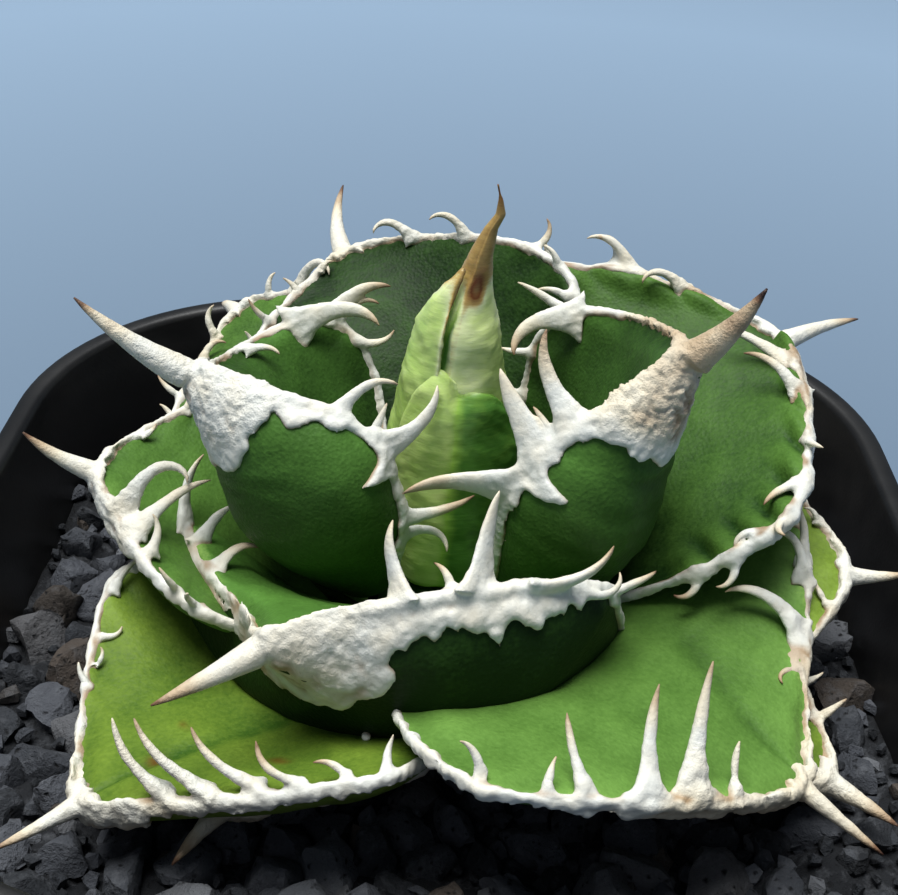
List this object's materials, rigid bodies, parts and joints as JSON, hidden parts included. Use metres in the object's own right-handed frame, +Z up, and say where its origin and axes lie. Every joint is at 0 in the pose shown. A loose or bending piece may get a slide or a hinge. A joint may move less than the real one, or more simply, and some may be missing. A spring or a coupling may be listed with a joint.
{
  "type": "potted agave",
  "caption": "Compact agave titanota rosette with thick cupped leaves, horny white margins, claws and end spines, in a rounded square black pot of lava grit.",
  "frame": {"origin": "centre of the pot's foot, on the surface that it stands on", "axes": "+Z up; the pot's sides face +X, -X, +Y and -Y; the plant is seen in the picture from -Y"},
  "size_m": [0.12, 0.12, 0.149],
  "materials": {
    "pot": "satin",
    "grit": "rough lava grit",
    "stem": "plant tissue, matt",
    "blade": "plant tissue, waxy satin",
    "horn": "dry chalky horn, matt",
    "bud": "plant tissue, waxy satin",
    "bud_spine": "translucent horn, satin"
  },
  "bodies": {
    "root": {"pot": "pot", "grit": "grit", "stem": "stem", "bud": "bud", "budSpine": "bud_spine", "budWrap": "bud", "sheath": "blade", "leafA_blade": "blade", "leafA_horn": "horn", "leafB_blade": "blade", "leafB_horn": "horn", "leafI_blade": "blade", "leafI_horn": "horn", "leafC_blade": "blade", "leafC_horn": "horn", "leafH_blade": "blade", "leafH_horn": "horn", "leafE_blade": "blade", "leafE_horn": "horn", "leafF_blade": "blade", "leafF_horn": "horn", "leafK_blade": "blade", "leafK_horn": "horn", "leafD_blade": "blade", "leafD_horn": "horn", "leafG_blade": "blade", "leafG_horn": "horn", "leafJ_blade": "blade", "leafJ_horn": "horn", "leafL_blade": "blade", "leafL_horn": "horn", "leafM_blade": "blade", "leafM_horn": "horn", "leafQ_blade": "blade", "leafQ_horn": "horn"}
  },
  "joints": []
}
